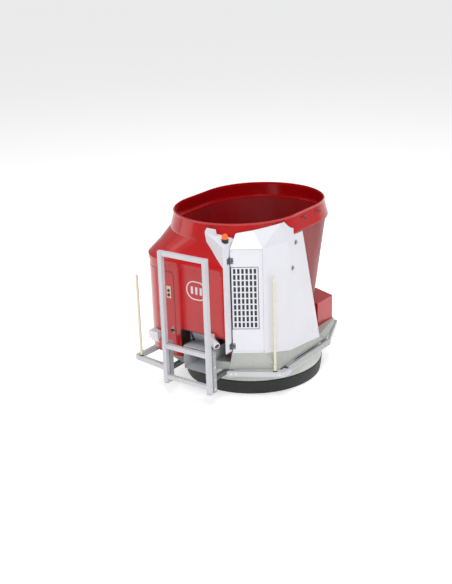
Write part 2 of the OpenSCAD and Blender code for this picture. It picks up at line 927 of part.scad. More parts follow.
module deck_body(t) {
    hull() {
        at_drum() translate([0, 0, beam_top - (t > 0 ? 1 : 0)]) linear_extrude(6) offset(delta = -t) polygon(deck_low);
        at_drum() translate([0, 0, deck_top - 1 - t]) linear_extrude(1) offset(delta = -t) polygon(deck_high);
    }
}

module deck() {
    color([0.56, 0.58, 0.54])
        difference() {
            deck_body(0);
            deck_body(4);
            tub_space(4);
            box_at([-chute_half - 2, drum_y - 1300, 300], [chute_half + 2, drum_y - 700, 800]);
            at_drum() translate([0, 0, 400]) linear_extrude(300) oval_plan(tub_base_r + 60);
        }
}

// ---------- electrics ----------
fan_x = grille_x + grille_w / 2;
fan_z = 1450;
fan_r = 118;

module fan_shroud() {
    color([0.15, 0.15, 0.16])
        door_frame() translate([fan_x, 25, fan_z]) rotate([-90, 0, 0]) {
            difference() {
                translate([-135, -135, 0]) cube([270, 270, 60]);
                translate([0, 0, -1]) cylinder(r = fan_r + 4, h = 62);
            }
            translate([-135, -8, 40]) cube([270, 16, 8]);
            translate([0, 0, 34]) cylinder(r = 36, h = 24);
            translate([0, 0, 8]) cylinder(r = 6, h = 28);
            for (y = [-150, 130])
                translate([12 - fan_x, y, 0]) cube([door_len - 18, 20, 12]);
        }
}

module fan_rotor() {
    color([0.25, 0.25, 0.27])
        door_frame() translate([fan_x, 25, fan_z]) rotate([-90, 0, 0])
            difference() {
                union() {
                    translate([0, 0, 4]) cylinder(r = 34, h = 26);
                    for (i = [0 : 6])
                        rotate(i * 360 / 7) translate([30, -20, 6]) rotate([18, 0, 0]) cube([fan_r - 32, 40, 3]);
                }
                translate([0, 0, 3]) cylinder(r = 6 + run_gap, h = 28);
            }
}

module battery_packs() {
    color([0.12, 0.14, 0.18])
        for (side = [-1, 1])
            box_at([side * 794 - 80, drum_y - 380, deck_top], [side * 794 + 80, drum_y + 90, 800]);
}

module inverter_cabinet() {
    color([0.7, 0.7, 0.72])
        at_drum() box_at([530, -935, deck_top], [670, -850, 900]);
}

beacon_x = 418;
beacon_top = 2222;

module beacon_base() {
    color([0.06, 0.06, 0.06])
        difference() {
            translate([beacon_x, drum_y - 1165, 0]) cylinder_from(42, 2100, beacon_top);
            through(corner_points);
            shoulder_body(0);
            tub_space(2);
        }
}

module beacon_lens() {
    color([0.95, 0.4, 0.08])
        translate([beacon_x, drum_y - 1165, beacon_top]) {
            cylinder(r = 38, h = 38);
            translate([0, 0, 38]) intersection() {
                scale([1, 1, 0.7]) sphere(r = 38);
                cylinder(r = 40, h = 40);
            }
        }
}

sensor_face = drum_y - nose_front;

module sensor_right() {
    color([0.92, 0.92, 0.95])
        translate([0, sensor_face, 0]) {
            box_at([180, -54, 880], [300, 0, 990]);
            translate([250, -34, 930]) rotate([0, 0, -20]) rotate([0, 108, 0]) cylinder(r = 33, h = 150);
        }
}

module sensor_right_lens() {
    color([0.1, 0.12, 0.12])
        translate([250, sensor_face - 34, 930]) rotate([0, 0, -20]) rotate([0, 108, 0])
            translate([0, 0, 150]) cylinder(r = 33, h = 14);
}

left_sensor_x = -655;

module sensor_left() {
    arc_y = nose_corner_r - nose_front;
    color([0.92, 0.92, 0.95])
        at_drum() difference() {
            union() {
                box_at([left_sensor_x - 75, -1350, 745], [left_sensor_x + 75, -1180, 845]);
                translate([left_sensor_x, -1330, 745]) rotate([35, 0, 0]) box_at([-60, -8, -60], [60, 0, 40]);
            }
            translate([nose_corner_r - nose_side, arc_y, 0]) cylinder_from(nose_corner_r + 0.2, 600, 900);
            box_at([-500, arc_y - nose_corner_r, 600], [0, 0, 900]);
        }
}

// ---------- bumper ----------
guide_r = 12;
guide_heights = [330, 700];
mid_z = 770;
foot_h = 55;

module front_frame() {
    face = drum_y - frame_front;
    bars = [[frame_z + foot_h, 56], [mid_z - 30, 58], [frame_top - frame_tube, frame_tube]];
    color([0.86, 0.87, 0.89]) {
        for (side = [-1, 1])
            box_at(
                [side * (frame_half - frame_tube / 2) - frame_tube / 2, face, frame_z],
                [side * (frame_half - frame_tube / 2) + frame_tube / 2, face + frame_tube, frame_top]
            );
        for (bar = bars)
            box_at([-frame_half + 10, face + 4, bar[0]], [frame_half - 10, face + frame_tube - 4, bar[0] + bar[1]]);
        for (side = [-1, 1], z = guide_heights)
            translate([side * (frame_half - frame_tube / 2), face + frame_tube - 5, z]) rotate([-90, 0, 0])
                cylinder(r = guide_r, h = frame_travel + leg_depth + 30);
    }
}

module frame_legs() {
    color([0.55, 0.56, 0.58])
        for (side = [-1, 1])
            difference() {
                translate([side * (frame_half - frame_tube / 2), 0, 0])
                    box_at([-26, leg_y, frame_z - 15], [26, leg_y + leg_depth, 800]);
                for (z = guide_heights)
                    translate([side * (frame_half - frame_tube / 2), leg_y - 1, z]) rotate([-90, 0, 0])
                        cylinder(r = guide_r + run_gap, h = leg_depth + 2);
            }
}

rod_right_at = [894, -821];
rod_left_at = [-900, -1326];
rail_front_right = -640;
rail_front_left = -965;
tow_y = 1140;
tow_hole_r = 13;

module bar_between(a, b, low, high, t) {
    span = b - a;
    at_drum() translate([a.x, a.y, low]) rotate(atan2(span.y, span.x))
        translate([0, -t / 2, 0]) cube([norm(span), t, high - low]);
}

bar_right = [[370, -1150], [1006, -790], [1022, -640], [935, -640], [935, -765], [370, -1098]];
bar_left = [
    [-370, -1423], [-985, -1342], [-1001, -1326], [-984, -965], [-938, -965], [-950, -1292], [-370, -1369]
];

module bumper_bars() {
    color([0.9, 0.9, 0.91])
        at_drum() translate([0, 0, bar_top - bar_h]) linear_extrude(bar_h) {
            polygon(bar_right);
            polygon(bar_left);
        }
}

module side_rail(side, front) {
    groove = 9;
    difference() {
        at_drum() box_at(
            [side > 0 ? rail_x - rail_t : -rail_x, front, rail_top - rail_h],
            [side > 0 ? rail_x : -rail_x + rail_t, 430, rail_top]
        );
        for (k = [0.2, 0.5, 0.8])
            at_drum() translate([side * rail_x, (front + 430) / 2, rail_top - rail_h * k])
                cube([2 * groove, 432 - front + 4, groove], center = true);
    }
}

module side_rails() {
    color([0.75, 0.77, 0.79]) {
        side_rail(1, rail_front_right);
        side_rail(-1, rail_front_left);
    }
}

module rear_bumper() {
    low = rail_top - rail_h;
    color([0.75, 0.77, 0.79])
        difference() {
            union() {
                bar_between([957, 431], [700, 1080], low, rail_top, 44);
                bar_between([-957, 431], [-700, 1080], low, rail_top, 44);
                bar_between([-715, 1080], [715, 1080], low, rail_top, 44);
                for (x = [-beam_x, beam_x])
                    at_drum() box_at([x - 25, 1000, beam_z + 4], [x + 25, 1060, beam_top - 4]);
                at_drum() box_at([-32, 1090, 400], [32, tow_y, 420]);
                at_drum() translate([0, tow_y, 0]) cylinder_from(32, 400, 420);
            }
            at_drum() box_at([-1100, 300, 0], [1100, 430, 600]);
            at_drum() translate([0, tow_y, 0]) cylinder_from(tow_hole_r, 380, 440);
        }
}

ball_r = rod_r + 6;

module whisker(place, length) {
    color([0.95, 0.93, 0.82])
        translate([place.x, drum_y + place.y, bar_top + face_gap + ball_r]) {
            sphere(r = ball_r);
            cylinder(r = rod_r, h = length - ball_r - rod_r);
            translate([0, 0, length - ball_r - rod_r]) sphere(r = rod_r);
        }
}

module whisker_left() whisker(rod_left_at, rod_left_h);
module whisker_right() whisker(rod_right_at, rod_right_h);

skirt_rubber();
skirt_steel();
skirt_bolts();
skirt_roller_rear();
skirt_roller_left();
skirt_roller_right();
chassis_frame();
wheel_motor_left();
wheel_motor_right();
wheel_rim_left();
wheel_rim_right();
wheel_tyre_left();
wheel_tyre_right();
caster_fork();
caster_wheel();
tub();
collar();
auger_gearbox();
auger_motor();
auger_core();
auger_flight();
auger_knives();
chute();
gate_plate();
gate_guides();
deck();
nose_skin();
nose_shoulder();
service_hatch();
hatch_latch();
control_plate();
push_button_upper();
push_button_lower();
badge();
corner_strip();
hood_sill();
right_hood();
side_door();
door_grille();
door_hinges();
hood_latch_upper();
hood_latch_lower();
left_cover();
rear_housing();
fan_shroud();
fan_rotor();
battery_packs();
inverter_cabinet();
beacon_base();
beacon_lens();
sensor_right();
sensor_right_lens();
sensor_left();
front_frame();
frame_legs();
bumper_bars();
side_rails();
rear_bumper();
whisker_left();
whisker_right();
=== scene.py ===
import bpy
import bmesh
import json
import math
from mathutils import Matrix, Vector
from mathutils.bvhtree import BVHTree


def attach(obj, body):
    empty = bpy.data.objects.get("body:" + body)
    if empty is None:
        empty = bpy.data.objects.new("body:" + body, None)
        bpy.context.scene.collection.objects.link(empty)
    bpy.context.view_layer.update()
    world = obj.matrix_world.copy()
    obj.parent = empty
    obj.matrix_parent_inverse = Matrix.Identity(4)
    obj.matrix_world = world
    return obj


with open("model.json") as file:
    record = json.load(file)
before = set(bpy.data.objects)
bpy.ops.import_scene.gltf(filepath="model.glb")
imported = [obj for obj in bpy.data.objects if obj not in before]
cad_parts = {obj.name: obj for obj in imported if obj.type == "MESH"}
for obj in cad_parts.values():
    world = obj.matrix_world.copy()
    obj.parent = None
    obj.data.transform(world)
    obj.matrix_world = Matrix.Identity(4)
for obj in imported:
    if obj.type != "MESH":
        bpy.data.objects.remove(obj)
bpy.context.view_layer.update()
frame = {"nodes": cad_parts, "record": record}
nodes = frame["nodes"]
scene = bpy.context.scene
DRUM_Y = 0.176

# Places shared by several pieces, in millimetres: x and y from the tub's middle, z from the floor.
NOSE_Y = -1292
UPRIGHT = (343, -1491)
LEG_FACE_X = 369
BAR_TOP = 437
BAR_MID_Z = 402
RAIL_REAR_Y = 428
HINGE = (478, -1165)
PIN = (479, -1172)
DOOR_FAR = (817, -950)
HINGE_HEIGHTS = (820, 1950)
BEACON = (418, -1165)
HATCH_LATCH = (-366, 905)
BUTTON_X = -402
TUB_STRAIGHT = 255
TUB_FLOOR_Z = 500
COLLAR_Z = 2140
FLIGHT_FOOT, FLIGHT_RISE, FLIGHT_TURNS, FLIGHT_STEPS = 528, 940, 2.25, 54

# The turning skirt's outside, in metres: radius and height at its two edges, and how far it
# leans in over its height.
SKIRT_LOW = (0.9405, 0.206)
SKIRT_HIGH = (0.9075, 0.384)
SKIRT_LEAN, SKIRT_TALL = 0.033, 0.178
LAP_ANGLES = (48, 168, 288)

# Edges sharper than this, in degrees, get a small bevel.
EDGE_ANGLE = 35


# ---------------------------------------------------------------- materials
def new_material(name):
    mat = bpy.data.materials.new(name)
    mat.use_nodes = True
    tree = mat.node_tree
    tree.nodes.clear()
    out = tree.nodes.new("ShaderNodeOutputMaterial")
    shader = tree.nodes.new("ShaderNodeBsdfPrincipled")
    tree.links.new(shader.outputs["BSDF"], out.inputs["Surface"])
    return mat, tree, shader


def noise(tree, scale, detail=3.0, stretch=(1, 1, 1), rough=0.55):
    coord = tree.nodes.new("ShaderNodeTexCoord")
    mapping = tree.nodes.new("ShaderNodeMapping")
    mapping.inputs["Scale"].default_value = stretch
    tex = tree.nodes.new("ShaderNodeTexNoise")
    tex.inputs["Scale"].default_value = scale
    tex.inputs["Detail"].default_value = detail
    tex.inputs["Roughness"].default_value = rough
    tree.links.new(coord.outputs["Object"], mapping.inputs["Vector"])
    tree.links.new(mapping.outputs["Vector"], tex.inputs["Vector"])
    return tex.outputs["Fac"]


def mix(tree, fac, a, b):
    node = tree.nodes.new("ShaderNodeMix")
    node.data_type = "RGBA"
    tree.links.new(fac, node.inputs[0])
    for sock, v in ((node.inputs[6], a), (node.inputs[7], b)):
        if isinstance(v, tuple):
            sock.default_value = v
        else:
            tree.links.new(v, sock)
    return node.outputs[2]


def to_range(tree, fac, low, high, out_low, out_high):
    node = tree.nodes.new("ShaderNodeMapRange")
    node.inputs[1].default_value = low
    node.inputs[2].default_value = high
    node.inputs[3].default_value = out_low
    node.inputs[4].default_value = out_high
    tree.links.new(fac, node.inputs[0])
    return node.outputs[0]


def math_node(tree, op, a, b):
    node = tree.nodes.new("ShaderNodeMath")
    node.operation = op
    for sock, v in ((node.inputs[0], a), (node.inputs[1], b)):
        if isinstance(v, float):
            sock.default_value = v
        else:
            tree.links.new(v, sock)
    return node.outputs[0]


def height(tree):
    coord = tree.nodes.new("ShaderNodeTexCoord")
    sep = tree.nodes.new("ShaderNodeSeparateXYZ")
    tree.links.new(coord.outputs["Object"], sep.inputs[0])
    return sep.outputs["Z"]


def edge_mask(tree, radius=0.006):
    """White where a surface turns sharply: paint puts its chips there, plastic a painted edge highlight."""
    geo = tree.nodes.new("ShaderNodeNewGeometry")
    bev = tree.nodes.new("ShaderNodeBevel")
    bev.samples = 4
    bev.inputs["Radius"].default_value = radius
    dot = tree.nodes.new("ShaderNodeVectorMath")
    dot.operation = "DOT_PRODUCT"
    tree.links.new(geo.outputs["Normal"], dot.inputs[0])
    tree.links.new(bev.outputs["Normal"], dot.inputs[1])
    return to_range(tree, dot.outputs["Value"], 0.995, 0.9, 0.0, 1.0)


def bump(tree, shader, heights, strength=0.4):
    last = None
    for h, d in heights:
        node = tree.nodes.new("ShaderNodeBump")
        node.inputs["Strength"].default_value = strength
        node.inputs["Distance"].default_value = d
        tree.links.new(h, node.inputs["Height"])
        if last is not None:
            tree.links.new(last, node.inputs["Normal"])
        last = node.outputs["Normal"]
    tree.links.new(last, shader.inputs["Normal"])


def rgb(c, k=1.0):
    return (c[0] * k, c[1] * k, c[2] * k, 1.0)


def paint(name, color, rough=0.3, coat=0.0, spread=0.06, dirt=0.35, dirt_top=0.5, wear=0.25,
          under=(0.45, 0.44, 0.42), peel=0.0006):
    mat, tree, shader = new_material(name)
    broad = noise(tree, 2.3, 4)
    fine = noise(tree, 46.0, 5)
    tone = to_range(tree, broad, 0.3, 0.7, 0.0, 1.0)
    base = mix(tree, tone, rgb(color, 1.0 - spread), rgb(color, 1.0 + spread))
    streak = noise(tree, 9.0, 4, (6, 6, 0.35))
    low = to_range(tree, height(tree), dirt_top, 0.0, 0.0, 1.0)
    dust = math_node(tree, "MULTIPLY", low, to_range(tree, streak, 0.35, 0.75, 0.0, dirt))
    base = mix(tree, dust, base, (0.36, 0.31, 0.25, 1))
    chips = math_node(tree, "MULTIPLY", to_range(tree, fine, 0.52, 0.62, 0.0, wear), edge_mask(tree))
    base = mix(tree, chips, base, rgb(under))
    tree.links.new(base, shader.inputs["Base Color"])
    smear = noise(tree, 5.0, 6, (1, 1, 0.5), 0.7)
    r = to_range(tree, smear, 0.25, 0.75, rough - 0.07, rough + 0.1)
    r = math_node(tree, "ADD", r, math_node(tree, "MULTIPLY", dust, 0.5))
    tree.links.new(r, shader.inputs["Roughness"])
    shader.inputs["Metallic"].default_value = 0.0
    shader.inputs["Coat Weight"].default_value = coat
    shader.inputs["Coat Roughness"].default_value = 0.08
    bump(tree, shader, ((noise(tree, 1.3, 1), 0.006), (noise(tree, 240.0, 2), peel)), strength=0.2)
    return mat


def brushed(name, color, rough=0.32, stretch=(1, 60, 1), metallic=1.0):
    mat, tree, shader = new_material(name)
    lines = noise(tree, 14.0, 5, stretch)
    base = mix(tree, to_range(tree, lines, 0.3, 0.7, 0.0, 1.0), rgb(color, 0.86), rgb(color, 1.08))
    stain = to_range(tree, noise(tree, 3.0, 5), 0.55, 0.75, 0.0, 0.35)
    base = mix(tree, stain, base, rgb(color, 0.6))
    tree.links.new(base, shader.inputs["Base Color"])
    tree.links.new(to_range(tree, lines, 0.2, 0.8, rough - 0.08, rough + 0.12), shader.inputs["Roughness"])
    shader.inputs["Metallic"].default_value = metallic
    bump(tree, shader, ((lines, 0.0006),), strength=0.3)
    return mat


def rubber(name, color=(0.009, 0.009, 0.0095), rough=0.55, grain=120.0):
    mat, tree, shader = new_material(name)
    scuff = noise(tree, 7.0, 6, (1, 1, 3), 0.7)
    base = mix(tree, to_range(tree, scuff, 0.4, 0.75, 0.0, 1.0), rgb(color), rgb(color, 2.1))
    low = to_range(tree, height(tree), 0.09, 0.0, 0.0, 0.5)
    dust = math_node(tree, "MULTIPLY", low, to_range(tree, noise(tree, 18.0, 4), 0.4, 0.7, 0.0, 1.0))
    base = mix(tree, dust, base, (0.06, 0.052, 0.045, 1))
    tree.links.new(base, shader.inputs["Base Color"])
    tree.links.new(to_range(tree, scuff, 0.25, 0.75, rough - 0.1, rough + 0.15), shader.inputs["Roughness"])
    bump(tree, shader, ((noise(tree, grain, 3), 0.0008), (noise(tree, 4.0, 2), 0.004)), strength=0.4)
    return mat


def plastic(name, color, rough=0.4, spread=0.05, grain=180.0):
    mat, tree, shader = new_material(name)
    tone = to_range(tree, noise(tree, 11.0, 4), 0.3, 0.7, 0.0, 1.0)
    base = mix(tree, tone, rgb(color, 1 - spread), rgb(color, 1 + spread))
    # Painted highlight: every sharp edge is lightened towards a paler copy of the plastic's own colour.
    edge_highlight = math_node(tree, "MULTIPLY", edge_mask(tree, 0.004), 0.25)
    base = mix(tree, edge_highlight, base, rgb([min(1, c * 1.4 + 0.05) for c in color]))
    tree.links.new(base, shader.inputs["Base Color"])
    sheen = to_range(tree, noise(tree, 16.0, 5), 0.3, 0.7, rough - 0.06, rough + 0.1)
    tree.links.new(sheen, shader.inputs["Roughness"])
    bump(tree, shader, ((noise(tree, grain, 3), 0.0004),), strength=0.35)
    return mat


MAT = {
    "red_gloss": paint(
        "red_gloss", (0.47, 0.002, 0.004), 0.2, 0.3, 0.04, 0.1, 0.9, 0.08, (0.35, 0.03, 0.03), 0.0003),
    "white_panel": paint("white_panel", (0.7, 0.7, 0.75), 0.34, 0.2, 0.02, 0.22, 0.95, 0.2, (0.5, 0.5, 0.5)),
    "deck_grey": paint("deck_grey", (0.42, 0.44, 0.41), 0.42, 0.0, 0.06, 0.35, 0.8, 0.4, (0.3, 0.28, 0.26)),
    "frame_grey": paint("frame_grey", (0.55, 0.56, 0.59), 0.34, 0.1, 0.04, 0.35, 0.5, 0.4, (0.3, 0.29, 0.28)),
    "dark_steel": paint("dark_steel", (0.07, 0.075, 0.08), 0.42, 0.0, 0.12, 0.5, 0.6, 0.5, (0.3, 0.29, 0.28)),
    "bare_steel": brushed("bare_steel", (0.5, 0.5, 0.5), 0.34, (1, 1, 30)),
    "skirt_sheet": paint("skirt_sheet", (0.6, 0.63, 0.59), 0.4, 0.0, 0.05, 0.3, 0.5, 0.3, (0.35, 0.34, 0.32)),
    "rubber_black": rubber("rubber_black"),
    "tyre_black": rubber("tyre_black", (0.02, 0.02, 0.02), 0.7, 60.0),
    "rail_alu": brushed("rail_alu", (0.62, 0.63, 0.65), 0.36, (60, 1, 60), 0.9),
    "plastic_black": plastic("plastic_black", (0.018, 0.018, 0.02), 0.42, 0.15),
    "plastic_white": plastic("plastic_white", (0.72, 0.72, 0.76), 0.36, 0.03),
    "rod_cream": plastic("rod_cream", (0.72, 0.67, 0.5), 0.38, 0.05),
    "lens_orange": plastic("lens_orange", (0.9, 0.16, 0.01), 0.16, 0.06),
    "plate_cream": plastic("plate_cream", (0.68, 0.58, 0.42), 0.35, 0.05),
    "motor_blue": paint("motor_blue", (0.05, 0.1, 0.2), 0.4, 0.0, 0.1, 0.4, 0.6, 0.4),
    "bolt_zinc": brushed("bolt_zinc", (0.7, 0.7, 0.7), 0.3, (8, 8, 8)),
    "lens_dark": plastic("lens_dark", (0.012, 0.014, 0.014), 0.12, 0.1),
}

# Tub paint: a darker, matte copy of the red paint. The darkening is painted shade for the shaded inside of
# the tub, and it also darkens the tub's outside. Its chips and low dust are wear and dirt.
TUB_RED_SHADED = paint("tub_red_shaded", (0.25, 0.002, 0.004), 0.42, 0.0, 0.1, 0.3, 1.6, 0.5, (0.3, 0.2, 0.19), 0.0012)
LEG_GREY = paint("leg_grey", (0.36, 0.37, 0.39), 0.38, 0.0, 0.05, 0.4, 0.6, 0.4, (0.3, 0.29, 0.28))
LATCH = brushed("latch_zinc", (0.42, 0.42, 0.43), 0.36, (20, 20, 20))
OWN = {"tub": TUB_RED_SHADED, "frame_legs": LEG_GREY, "hood_latch_upper": LATCH, "hood_latch_lower": LATCH}

slot_of = {s["node"]: s["material_slot"] for s in frame["record"]["subparts"]}
for name, obj in nodes.items():
    mat = OWN.get(name, MAT[slot_of[name]])
    obj.data.materials.clear()
    obj.data.materials.append(mat)


def soften(name, width):
    m = nodes[name].modifiers.new("edge", "BEVEL")
    m.width = width
    m.segments = 2
    m.limit_method = "ANGLE"
    m.angle_limit = math.radians(EDGE_ANGLE)
    m.use_clamp_overlap = True
    m.harden_normals = False


for name, width in (
    ("front_frame", 0.006), ("frame_legs", 0.004), ("bumper_bars", 0.006), ("side_rails", 0.0015),
    ("rear_bumper", 0.003), ("chassis_frame", 0.003), ("side_door", 0.0015), ("door_grille", 0.0007),
    ("sensor_left", 0.005), ("inverter_cabinet", 0.006), ("battery_packs", 0.008), ("control_plate", 0.0015),
    ("badge", 0.0012), ("gate_plate", 0.0012), ("hatch_latch", 0.003), ("hood_latch_upper", 0.002),
    ("hood_latch_lower", 0.002), ("deck", 0.002), ("rear_housing", 0.002), ("auger_knives", 0.0015),
    ("beacon_base", 0.002), ("skirt_bolts", 0.001), ("fan_shroud", 0.002), ("gate_guides", 0.001),
):
    soften(name, width)


# ---------------------------------------------------------------- detail pieces
def at(x, y, z):
    """Point in metres from millimetres, y measured from the tub's middle."""
    return Vector((x / 1000, y / 1000 + DRUM_Y, z / 1000))


def piece(name, bm, slot, body, bevel=0.0, smooth=True):
    bmesh.ops.recalc_face_normals(bm, faces=bm.faces)
    mesh = bpy.data.meshes.new(name)
    bm.to_mesh(mesh)
    bm.free()
    mesh.materials.append(MAT[slot])
    for poly in mesh.polygons:
        poly.use_smooth = smooth
    obj = bpy.data.objects.new(name, mesh)
    scene.collection.objects.link(obj)
    if smooth:
        mesh.set_sharp_from_angle(angle=math.radians(34))
    if bevel:
        m = obj.modifiers.new("edge", "BEVEL")
        m.width = bevel
        m.segments = 2
        m.limit_method = "ANGLE"
        m.angle_limit = math.radians(EDGE_ANGLE)
    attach(obj, body)
    return obj


def circle_points(radius, count, spin=0.0):
    """Points of a circle in the plane across an axis, as (x, y) pairs."""
    turns = [2 * math.pi * i / count + spin for i in range(count)]
    return [(radius * math.cos(a), radius * math.sin(a)) for a in turns]


def turned(bm, pos, axis, profile, segments=28, spin=0.0):
    """Round part turned about an axis: profile is a list of (radius, height), closed at both ends."""
    rot = axis.to_track_quat("Z", "Y").to_matrix()
    rings = []
    for r, h in profile:
        points = circle_points(r, segments, spin)
        rings.append([bm.verts.new(pos + rot @ Vector((x, y, h))) for x, y in points])
    for low, high in zip(rings, rings[1:]):
        for i in range(segments):
            j = (i + 1) % segments
            bm.faces.new((low[i], low[j], high[j], high[i]))
    bm.faces.new(list(reversed(rings[0])))
    bm.faces.new(rings[-1])


def hollow(bm, pos, axis, profile, segments=40):
    """Ring turned about an axis: a closed profile of (radius, height) with no end caps."""
    rot = axis.to_track_quat("Z", "Y").to_matrix()
    rings = []
    for r, h in profile:
        rings.append([bm.verts.new(pos + rot @ Vector((x, y, h))) for x, y in circle_points(r, segments)])
    for k in range(len(rings)):
        low, high = rings[k], rings[(k + 1) % len(rings)]
        for i in range(segments):
            j = (i + 1) % segments
            bm.faces.new((low[i], low[j], high[j], high[i]))


def hex_bolt(bm, pos, axis, size=0.010, turn=0.0):
    turned(bm, pos, axis, [(size * 1.55, -0.001), (size * 1.6, size * 0.1), (size * 1.5, size * 0.22)], 24)
    turned(bm, pos, axis, [(size, size * 0.2), (size, size * 0.75), (size * 0.86, size * 0.9)], 6, turn)
    turned(bm, pos, axis, [(size * 0.55, size * 0.88), (size * 0.5, size * 0.98)], 16)


def dome_screw(bm, pos, axis, size=0.006):
    turned(bm, pos, axis, [
        (size * 1.15, -0.001), (size * 1.15, size * 0.12), (size, size * 0.3), (size * 0.8, size * 0.52),
        (size * 0.45, size * 0.62), (size * 0.42, size * 0.4)], 18)


def block(bm, low, high):
    (x0, y0, z0), (x1, y1, z1) = low, high
    v = [bm.verts.new((x, y, z)) for z in (z0, z1) for y in (y0, y1) for x in (x0, x1)]
    for f in ((0, 2, 3, 1), (4, 5, 7, 6), (0, 1, 5, 4), (2, 6, 7, 3), (0, 4, 6, 2), (1, 3, 7, 5)):
        bm.faces.new([v[i] for i in f])


def tube(bm, path, radius, segments=8, closed=False):
    rings = []
    n = len(path)
    for i, p in enumerate(path):
        a = path[(i - 1) % n] if closed or i > 0 else p
        b = path[(i + 1) % n] if closed or i < n - 1 else p
        rot = (b - a).to_track_quat("Z", "Y").to_matrix()
        rings.append([bm.verts.new(p + rot @ Vector((x, y, 0))) for x, y in circle_points(radius, segments)])
    pairs = list(zip(rings, rings[1:])) + ([(rings[-1], rings[0])] if closed else [])
    for low, high in pairs:
        for k in range(segments):
            j = (k + 1) % segments
            bm.faces.new((low[k], low[j], high[j], high[k]))
    if not closed:
        bm.faces.new(list(reversed(rings[0])))
        bm.faces.new(rings[-1])


def surface(name):
    obj = nodes[name]
    m = obj.matrix_world
    verts = [m @ v.co for v in obj.data.vertices]
    return BVHTree.FromPolygons(verts, [tuple(q.vertices) for q in obj.data.polygons])


def spots(tree, rays):
    for origin, direction in rays:
        hit, normal, _, _ = tree.ray_cast(origin, direction.normalized())
        if hit is None:
            continue
        if normal.dot(direction) > 0:
            normal = -normal
        yield hit, normal


X, Y, Z = Vector((1, 0, 0)), Vector((0, 1, 0)), Vector((0, 0, 1))

# Front frame: caps on the tube feet, bolts on the outer sides, weld beads round the cross bars.
bm = bmesh.new()
for side in (-1, 1):
    x = side * UPRIGHT[0]
    block(bm, at(x - 28, -1518, 249), at(x + 28, -1464, 257.4))
    block(bm, at(x - 17, -1507, 243), at(x + 17, -1475, 249.2))
piece("foot_caps", bm, "plastic_black", "bumper_frame", 0.0025, False)
bm = bmesh.new()
for side in (-1, 1):
    for z in (330, 700):
        hex_bolt(bm, at(side * (UPRIGHT[0] + 29), UPRIGHT[1], z), X * side, 0.011, 0.3 * side)
piece("frame_bolts", bm, "bolt_zinc", "bumper_frame")
bm = bmesh.new()
for side in (-1, 1):
    x = side * 314.5
    for z0, z1 in ((312, 368), (740, 798), (1985, 2041)):
        loop = [at(x, -1516, z0), at(x, -1466, z0), at(x, -1466, z1), at(x, -1516, z1)]
        tube(bm, loop, 0.0035, 6, True)
piece("frame_welds", bm, "frame_grey", "bumper_frame")

# Base: bolts on legs, bumper bars, rear bumper and chute.
bm = bmesh.new()
for side in (-1, 1):
    for z in (290, 420, 590, 750):
        hex_bolt(bm, at(side * LEG_FACE_X, -1403, z), X * side, 0.010, z * 0.01)
for t in (0.05, 0.95):
    hex_bolt(bm, at(-370 - 615 * t, -1423 + 81 * t, BAR_MID_Z), Vector((-0.13, -0.99, 0)), 0.011, t)
for t in (0.07, 0.16, 0.93):
    hex_bolt(bm, at(370 + 636 * t, -1150 + 360 * t, BAR_MID_Z), Vector((0.49, -0.87, 0)), 0.011, t)
for x in (-640, -340, 340, 640):
    hex_bolt(bm, at(x, 1102, 388), Y, 0.010, x)
    hex_bolt(bm, at(x, 1102, 430), Y, 0.010, x * 2)
for side in (-1, 1):
    for y in (-1230, -1130, -1030):
        dome_screw(bm, at(side * 205, y, 690), X * side, 0.007)
piece("base_bolts", bm, "bolt_zinc", "base")

# Rail grooves as dark insets, and a black block at the front end of the right rail that paints the shadow gap
# there.
bm = bmesh.new()
for side, front in ((1, -638), (-1, -963)):
    for z in (434, 410, 386):
        x = side * 972
        inner, outer = sorted((x - side, x + side * 4))
        block(bm, at(inner, front, z - 4.2), at(outer, RAIL_REAR_Y, z + 4.2))
piece("rail_grooves", bm, "plastic_black", "base", 0.0004, False)
# Painted shade: this black block stands in for the shadow gap at the right rail's front end.
bm = bmesh.new()
block(bm, at(936, -670, BAR_TOP), at(979, -640.5, 449))
piece("rail_end_shade_block", bm, "plastic_black", "base", 0.002, False)

# Rod sockets on the bars and collars on the rods.
for side, place in (("left", (-900, -1326)), ("right", (894, -821))):
    bm = bmesh.new()
    hollow(bm, at(*place, BAR_TOP), Z, [
        (0.0238, 0.0), (0.0238, 0.012), (0.0255, 0.014), (0.0268, 0.011), (0.0268, 0.0)], 36)
    piece("rod_socket_" + side, bm, "plastic_black", "base")
    bm = bmesh.new()
    turned(bm, at(*place, BAR_TOP + 47), Z, [
        (0.018, -0.004), (0.0225, 0.0), (0.0225, 0.030), (0.0205, 0.036), (0.0173, 0.038)], 32)
    piece("rod_collar_" + side, bm, "rod_cream", "rod_" + side)

# Door: gasket round the grille, filter mat behind it, screws, hinge seal, hinge parts and threshold.
hinge = at(*HINGE, 0)
far = at(*DOOR_FAR, 0)
along = (far - hinge).normalized()
out = Vector((along.y, -along.x, 0))
turn = Matrix((along, -out, Z)).transposed()


def on_door(x, y, z):
    return hinge + turn @ Vector((x / 1000, y / 1000, z / 1000))


def door_block(bm, low, high):
    other = bmesh.new()
    block(other, Vector(low) / 1000, Vector(high) / 1000)
    for v in other.verts:
        v.co = hinge + turn @ v.co
    keep = {v: bm.verts.new(v.co) for v in other.verts}
    for f in other.faces:
        bm.faces.new([keep[v] for v in f.verts])
    other.free()


